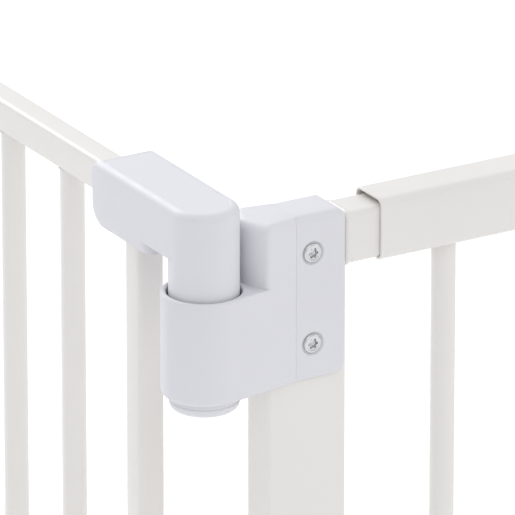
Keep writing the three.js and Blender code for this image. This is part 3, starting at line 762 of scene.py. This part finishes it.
def bracket_high(z, shrink):
    """The outline above the rim, with the hollow that the knuckle turns in."""
    lip_steps = 12
    lip = (26.3, -15.9)
    hollow = (20.5, 0.0)
    nose = bend((ridge_x, -ridge_y), (27.4, -17.6), lip, lip_steps)
    nose += bend(lip, (21.2, -7.0), hollow, WALL_STEPS // 2 - lip_steps)
    middle, half_width = 50.0, 15.5
    ring = []
    for x, y in nose + [hollow] + behind(nose) + cheeks(BRACKET_END):
        reach = middle - hollow[0] if x < middle else BRACKET_END - middle
        ring.append((middle + (x - middle) * (1 - shrink / reach),
                     y * (1 - shrink / half_width), z))
    return ring


def bracket_foot(z, inset):
    """The outline near the foot, where the far lower corner is rounded."""
    drop = max(FOOT_CORNER - (z - SOCKET_FOOT), 0)
    end = BRACKET_END - FOOT_CORNER + sqrt(FOOT_CORNER ** 2 - drop ** 2)
    return bracket_low(z, end, inset)


def bracket_body():
    rings = []
    foot_round = 3.0
    for i in range(7):
        turn = pi / 2 * i / 6
        rings.append(bracket_foot(
            SOCKET_FOOT + foot_round * (1 - cos(turn)), foot_round * (1 - sin(turn))))
    rings += [bracket_foot(SOCKET_FOOT + rise, 0.0) for rise in (4, 5, 6, 7, 8)]
    rim_round = 1.3
    for i in range(5):
        turn = pi / 2 * i / 4
        rings.append(bracket_low(
            -rim_round + rim_round * sin(turn), BRACKET_END, 0.0, rim_round * (1 - cos(turn))))
    top_round = 5.0
    for z in (0.0, BRACKET_TOP - top_round):
        rings.append(bracket_high(z, 0.0))
    for i in range(1, 9):
        turn = pi / 2 * i / 9
        rings.append(bracket_high(
            BRACKET_TOP - top_round + top_round * sin(turn), top_round * (1 - cos(turn)) * 0.9))
    for shrink, rise in ((5.5, 0.05), (7.5, 0.2), (9.5, 0.3), (12.0, 0.38)):
        rings.append(bracket_high(BRACKET_TOP + rise, shrink))
    return skinned(rings)


SCREW_X = 55.5
SCREW_Z = (13.0, -35.9)
SEAT_DEPTH = 1.2
for label, seat in (("top", upper), ("bottom", lower)):
    bracket = made(f"{label}_bracket_moulding", bracket_body(), pale_plastic, seat)
    # The top bracket caps its post; the bottom one lets the post pass through to the floor.
    roof = HINGE_POST_TOP - UPPER_RIM + GAP if label == "top" else BRACKET_TOP + 5
    cutters = [
        cutter_lathe([(18.9, -51), (19.3, -50.6), (19.3, -0.6), (19.9, 0.0), (19.9, 2)], 96, seat),
        cutter_lathe([(PIN_HOLE, -57), (PIN_HOLE, -50)], 32, seat),
        block(POST_X[0] - GAP, BRACKET_END + 1, -POST_HALF - GAP, POST_HALF + GAP,
              SOCKET_FOOT - 1, roof, seat)]
    for z in SCREW_Z:
        cutters.append(cutter_lathe(
            [(2.5, 3.0), (2.5, 0.0), (5.4, 0.0), (6.5, -SEAT_DEPTH),
             (6.9, -SEAT_DEPTH - 0.15), (6.9, -SEAT_DEPTH - 1)],
            48, seat, "Y", (SCREW_X, -CHEEK + SEAT_DEPTH, z)))
    carved(bracket, cutters)
    on_body(bracket, "frame", "pale_plastic", f"{label}_hinge_bracket")

# ---------------------------------------------------------------- hinge pins and caps
# A steel pin runs up through each socket into the knuckle, and a moulded cap with one
# fine groove covers its end.
bright_steel, tree, shader = node_material(
    "bright_plated_steel", (0.72, 0.72, 0.73), 0.24, 1.0, 0.5)
drawn = noise(tree, 900.0, 3.0, (1.0, 1.0, 8.0))
tree.links.new(spread(tree, drawn, 0.16, 0.36), shader.inputs["Roughness"])
bumped(tree, shader, noise(tree, 1500.0, 2.0, (1.0, 1.0, 6.0)), 0.15, 0.00002)
AXIS = 0.01               # the radius that closes a turned profile at its axis
cap_top = SOCKET_FOOT - GAP
cap_foot = cap_top - 7.7
profile = [(AXIS, cap_foot), (11.5, cap_foot)]
for i in range(9):
    turn = pi / 2 * i / 8
    profile.append((13.2 + 4.8 * sin(turn), cap_foot + 4.4 * (1 - cos(turn))))
profile += [
    (18.0, cap_top - 2.9), (17.55, cap_top - 2.6), (17.55, cap_top - 2.3), (17.9, cap_top - 2.0),
    (17.9, cap_top), (PIN_HOLE, cap_top), (PIN_HOLE, cap_top - 3.8), (AXIS, cap_top - 3.8)]
for label, seat in (("top", upper), ("bottom", lower)):
    nodes[f"{label}_hinge_pin"].data.materials[0] = bright_steel
    cap = made(f"{label}_pin_cover", lathe(profile, 72), pale_plastic, seat)
    on_body(cap, "frame", "pale_plastic", f"{label}_hinge_pin_cap")

# ---------------------------------------------------------------- screws
# Plated machine screws with a six-lobed drive hold the brackets to the post, and the
# same kind holds the arms and the latch housing to the door.
screw_row, given, link = row_tree("set_of_screws", (
    ("Geometry", "Geometry"), ("Screw", "Object"), ("Turn", "Vector"), ("Finish", "Material")))
model = screw_row.nodes.new("GeometryNodeObjectInfo")
link(given["Screw"], model.inputs["Object"])
repeat = repeated(screw_row, given["Geometry"], model.outputs["Geometry"], given["Finish"])
link(given["Turn"], repeat.inputs["Rotation"])


def unplaced(x, y, z):
    return Vector((x, y, z)) * MM


def screw_model(name, profile, drive_depth, drive_top):
    """A screw along Z, with its head up and a six-lobed drive in it."""
    piece = made(name, lathe(profile, 48), None, unplaced)
    lobes = []
    for k in range(48):
        turn = 2 * pi * k / 48
        radius = 2.55 + 0.42 * cos(6 * turn)
        lobes.append((radius * cos(turn), radius * sin(turn)))
    floor = drive_top - drive_depth
    drive = made("drive", skinned([
        [(x * scale, y * scale, z) for x, y in lobes]
        for scale, z in ((0.6, floor - 0.6), (1.0, floor), (1.0, drive_top + 1))]), None, unplaced)
    return carved(piece, [drive])


pan_screw = screw_model("pan_screw", [
    (AXIS, -4.5), (2.0, -4.5), (2.2, -4.2), (2.2, 0.1), (4.9, 0.1), (5.0, 0.3), (5.0, 0.9),
    (4.85, 1.25), (4.5, 1.5), (4.0, 1.6), (3.7, 1.45), (AXIS, 1.45)], 1.6, 1.45)
flat_screw = screw_model("flat_screw", [
    (AXIS, 0.0), (1.8, 0.0), (2.0, 0.2), (2.0, 7.7), (3.9, 9.7), (4.0, 9.9), (3.85, 10.1),
    (AXIS, 10.1)], 1.4, 10.1)


def screws(name, model, places, turn, body, stands_for):
    spots = bpy.data.meshes.new(name)
    spots.from_pydata([tuple(p) for p in places], [], [])
    piece = grown(name, screw_row, {
        "Screw": model, "Turn": turn, "Finish": bright_steel}, spots)
    on_body(piece, body, "bright_steel", *stands_for)


screws("bracket_screws", pan_screw,
       [seat(SCREW_X, -CHEEK + SEAT_DEPTH, z) for seat in (upper, lower) for z in SCREW_Z],
       (radians(90), 0, 0), "frame",
       [f"{label}_bracket_screw_{i}" for label in ("top", "bottom") for i in (1, 2)])
BUTTON_Y = 488.0
screws("door_screws", flat_screw,
       [upper(CHANNEL_HALF, *ARM_SCREW), lower(CHANNEL_HALF, *ARM_SCREW),
        upper(CHANNEL_HALF, BUTTON_Y, ARM_SCREW[1])],
       (0, radians(90), 0), "door",
       ["top_arm_screw", "bottom_arm_screw", "latch_housing_screw"])
for model in (pan_screw, flat_screw):
    bpy.data.objects.remove(model)


# ---------------------------------------------------------------- latch
# The housing is moulded like the hinge arm and grips the free end of the door's top
# rail. A bolt slides in it, drawn back by a ribbed slide on top, and a sprung button
# on its side lets the slide go.
HOUSING_Y = (438.0, 531.0)
HOUSING_FOOT = 12.0


def housing_body():
    y0, y1 = HOUSING_Y
    small_round = 3.0
    levels = []
    for i in range(7):
        turn = pi / 2 * i / 6
        rise = END_ROUND * (1 - cos(turn))
        below = small_round - min(rise, small_round)
        levels.append((HOUSING_FOOT + rise, 0.0, END_ROUND * (1 - sin(turn)),
                       small_round - sqrt(small_round ** 2 - below ** 2)))
    for i in range(10):
        turn = pi / 2 * i / 9
        inset = EDGE_ROUND * (1 - cos(turn))
        levels.append((CROWN - EDGE_ROUND + EDGE_ROUND * sin(turn), inset, inset, inset))
    for more, depth in ((0.28, 0.3), (0.6, 0.0)):
        levels.append((CROWN - depth, EDGE_ROUND + more, EDGE_ROUND + more, EDGE_ROUND + more))
    return skinned([
        [(x, y, z) for x, y in rounded(
            -KNUCKLE + inset, y0 + back, KNUCKLE - inset, y1 - front, 2.0, 5)]
        for z, inset, back, front in levels])


housing = made("latch_moulding", housing_body(), pale_plastic, upper)
BUTTON_Z = 27.0
shell = KNUCKLE - CHANNEL_HALF
carved(housing, [
    block(-CHANNEL_HALF, CHANNEL_HALF, HOUSING_Y[0] - 1, DOOR_Y[1] + GAP,
          HOUSING_FOOT - 1, CHANNEL_TOP, upper),
    block(-BOLT_HALF - 0.4, BOLT_HALF + 0.4, DOOR_Y[1] - 1, HOUSING_Y[1] + 1,
          BOLT_Z[0] - UPPER_RIM - 0.4, BOLT_Z[1] - UPPER_RIM + 0.4, upper),
    block(-NECK_SLOT_HALF, NECK_SLOT_HALF, *NECK_SLOT, *NECK_SLOT_Z, upper),
    cutter_lathe([(8.9, 1), (8.9, -shell + 4), (7.3, -shell + 4), (7.3, -shell + 0.6),
                  (8.0, -shell - 0.1), (8.0, -shell - 1)],
                 48, upper, "X", (-CHANNEL_HALF, BUTTON_Y, BUTTON_Z)),
    cutter_lathe(SCREW_HOLE, 32, upper, "X", (DOOR_HALF, BUTTON_Y, ARM_SCREW[1]))])
on_body(housing, "door", "pale_plastic", "latch_housing")

slide_y = (455.0, 481.0)
slide_foot = CROWN + GAP
slide_half = 11.0
ridge = []
for i in range(61):
    t = i / 60
    y = slide_y[0] + 2.2 + (slide_y[1] - slide_y[0] - 4.4) * t
    dip = 6.6 - 2.6 * sin(pi * t)
    grip = 0.45 * abs(sin(7 * pi * t)) if 0.05 < t < 0.95 else 0.0
    ridge.append((y, slide_foot + dip + grip))
shoulder = slide_foot + 4.6
profile = [
    (slide_y[1] - 0.5, slide_foot), (slide_y[1], slide_foot + 0.5), (slide_y[1], shoulder)]
profile += ridge[::-1]
profile += [
    (slide_y[0], shoulder), (slide_y[0], slide_foot + 0.5), (slide_y[0] + 0.5, slide_foot)]
levels = [(-slide_half, 0.9), (-slide_half + 0.3, 0.35), (-slide_half + 1.0, 0.0)]
levels += across(levels)
middle = (sum(slide_y) / 2, slide_foot + 2.5)


def slide_ring(x, inset):
    """The slide's outline, drawn in a little towards its ends and its top."""
    along = 1 - inset / 13
    return [(x, middle[0] + (y - middle[0]) * along,
             middle[1] + (z - middle[1]) * (1 - inset / 4) if z > middle[1] else z)
            for y, z in profile]


grip_slide = made(
    "ribbed_slide", skinned([slide_ring(*level) for level in levels]), pale_plastic, upper)
carved(grip_slide, [block(
    -3.3, 3.3, NECK_Y - 6.3, NECK_Y + 6.3, CROWN - 1, CROWN + 2.3, upper)])
on_body(grip_slide, "latch", "pale_plastic", "thumb_slide")

button_face = shell + 2.5
button_step = shell - 4.3
press = [
    (AXIS, button_step - 1.5), (8.6, button_step - 1.5), (8.6, button_step), (7.0, button_step),
    (7.0, button_face - 1.2), (6.65, button_face - 0.35), (5.9, button_face),
    (5.2, button_face - 0.1)]
press += [(5.0 - 0.8 * i, button_face - 0.15 - 0.09 * i) for i in range(1, 6)]
press.append((AXIS, button_face - 0.7))
button_piece = made(
    "press_button", lathe([(r, -h) for r, h in press], 56, "X"), pale_plastic,
    lambda x, y, z: upper(x - CHANNEL_HALF, y + BUTTON_Y, z + BUTTON_Z))
on_body(button_piece, "button", "pale_plastic", "release_button")
nodes["button_spring"].data.materials[0] = bright_steel


# ---------------------------------------------------------------- plugs, strikes, plates
# Moulded plugs close the tubes' open ends, two moulded strikes on the latch post catch
# the bolt and the door's peg, and painted plates screw to the walls. Each has its
# edges rounded as a moulding tool or a coat of paint leaves them.
def eased(node, name, width, material):
    bm = bmesh.new()
    bm.from_mesh(nodes[node].data)
    bmesh.ops.remove_doubles(bm, verts=bm.verts, dist=2e-6)
    bmesh.ops.dissolve_limit(bm, angle_limit=radians(1.0), verts=bm.verts, edges=bm.edges)
    mesh = bpy.data.meshes.new(name)
    bm.to_mesh(mesh)
    bm.free()
    piece = bpy.data.objects.new(name, mesh)
    bpy.context.scene.collection.objects.link(piece)
    mesh.materials.clear()
    mesh.materials.append(material)
    change = piece.modifiers.new("ease", "BEVEL")
    change.width = width * MM
    change.segments = 3
    change.limit_method = "ANGLE"
    change.angle_limit = radians(40)
    change.use_clamp_overlap = True
    smoothed(plain_mesh(piece), 40.0)
    return piece


for node, body, width, material, slot in (
        ("latch_post_cap", "frame", 0.6, pale_plastic, "pale_plastic"),
        ("threshold_plug_latch_end", "frame", 0.6, pale_plastic, "pale_plastic"),
        ("threshold_plug_hinge_end", "frame", 0.6, pale_plastic, "pale_plastic"),
        ("wall_post_top_plug", "side_panel", 0.6, pale_plastic, "pale_plastic"),
        ("wall_post_foot_plug", "side_panel", 0.6, pale_plastic, "pale_plastic"),
        ("bolt_strike", "frame", 0.7, pale_plastic, "pale_plastic"),
        ("peg_strike", "frame", 0.7, pale_plastic, "pale_plastic"),
        ("catch_peg", "door", 0.6, pale_plastic, "pale_plastic"),
        ("latch_bolt", "latch", 0.6, pale_plastic, "pale_plastic"),
        ("latch_wall_plate_lower", "frame", 0.4, white_paint, "white_paint"),
        ("latch_wall_plate_upper", "frame", 0.4, white_paint, "white_paint"),
        ("panel_wall_plate_lower", "side_panel", 0.4, white_paint, "white_paint"),
        ("panel_wall_plate_upper", "side_panel", 0.4, white_paint, "white_paint")):
    on_body(eased(node, f"{node}_eased", width, material), body, slot, node)
